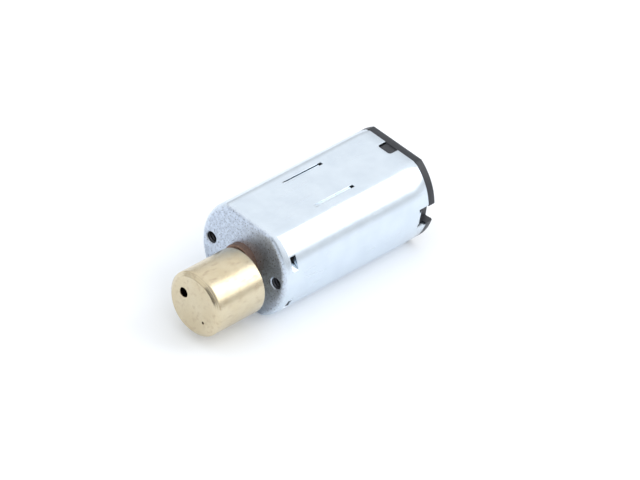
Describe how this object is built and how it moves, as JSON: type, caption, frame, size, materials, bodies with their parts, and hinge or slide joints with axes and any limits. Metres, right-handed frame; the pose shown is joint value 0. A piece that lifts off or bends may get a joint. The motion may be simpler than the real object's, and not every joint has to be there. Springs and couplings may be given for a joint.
{
  "type": "dc vibration motor",
  "caption": "Small flat-sided DC vibration motor: drawn steel can with threaded front mounting holes, black plastic end cap and an eccentric brass weight on the shaft.",
  "frame": {"origin": "on the shaft axis, in the plane of the can's front mounting face, midway between the two threaded holes", "axes": "+Y along the shaft towards the rear terminals, so the output end faces -Y; +Z square to the two flats, on the side with the two long lances; +X towards the right mounting hole seen from the rear"},
  "size_m": [0.012, 0.0308, 0.01],
  "materials": {
    "can_steel": "bright plated, slightly mottled on the front face",
    "bronze": "sintered, matt",
    "ferrite": "matt",
    "spring_steel": "bright wire",
    "cap_plastic": "moulded, slight sheen",
    "terminal_brass": "tinned",
    "brush_alloy": "bright leaf",
    "shaft_steel": "ground",
    "washer_plastic": "natural",
    "spacer_plastic": "natural",
    "core_steel": "blanked sheet, dull",
    "insulation": "powder coat",
    "copper_wire": "enamelled, gloss",
    "commutator_moulding": "phenolic",
    "commutator_copper": "polished",
    "weight_brass": "turned, polished side, fine rings on the face"
  },
  "bodies": {
    "stator": {"housing": "can_steel", "front_bearing": "bronze", "magnet_left": "ferrite", "magnet_right": "ferrite", "magnet_spring": "spring_steel", "end_cap": "cap_plastic", "rear_bearing": "bronze", "terminal_left": "terminal_brass", "terminal_right": "terminal_brass", "brush_left": "brush_alloy", "brush_right": "brush_alloy"},
    "rotor": {"shaft": "shaft_steel", "front_washer": "washer_plastic", "spacer_collar": "spacer_plastic", "core_laminations": "core_steel", "insulator_front": "insulation", "insulator_rear": "insulation", "coil_a": "copper_wire", "coil_b": "copper_wire", "coil_c": "copper_wire", "commutator_core": "commutator_moulding", "commutator_segment_a": "commutator_copper", "commutator_segment_b": "commutator_copper", "commutator_segment_c": "commutator_copper", "commutator_ring": "washer_plastic", "rear_washer": "washer_plastic", "eccentric_weight": "weight_brass"}
  },
  "joints": [
    {"name": "rotor_spin", "type": "hinge", "parent": "stator", "child": "rotor", "pos_m": [0, 0, 0], "axis": [0, 1, 0], "continuous": true}
  ]
}
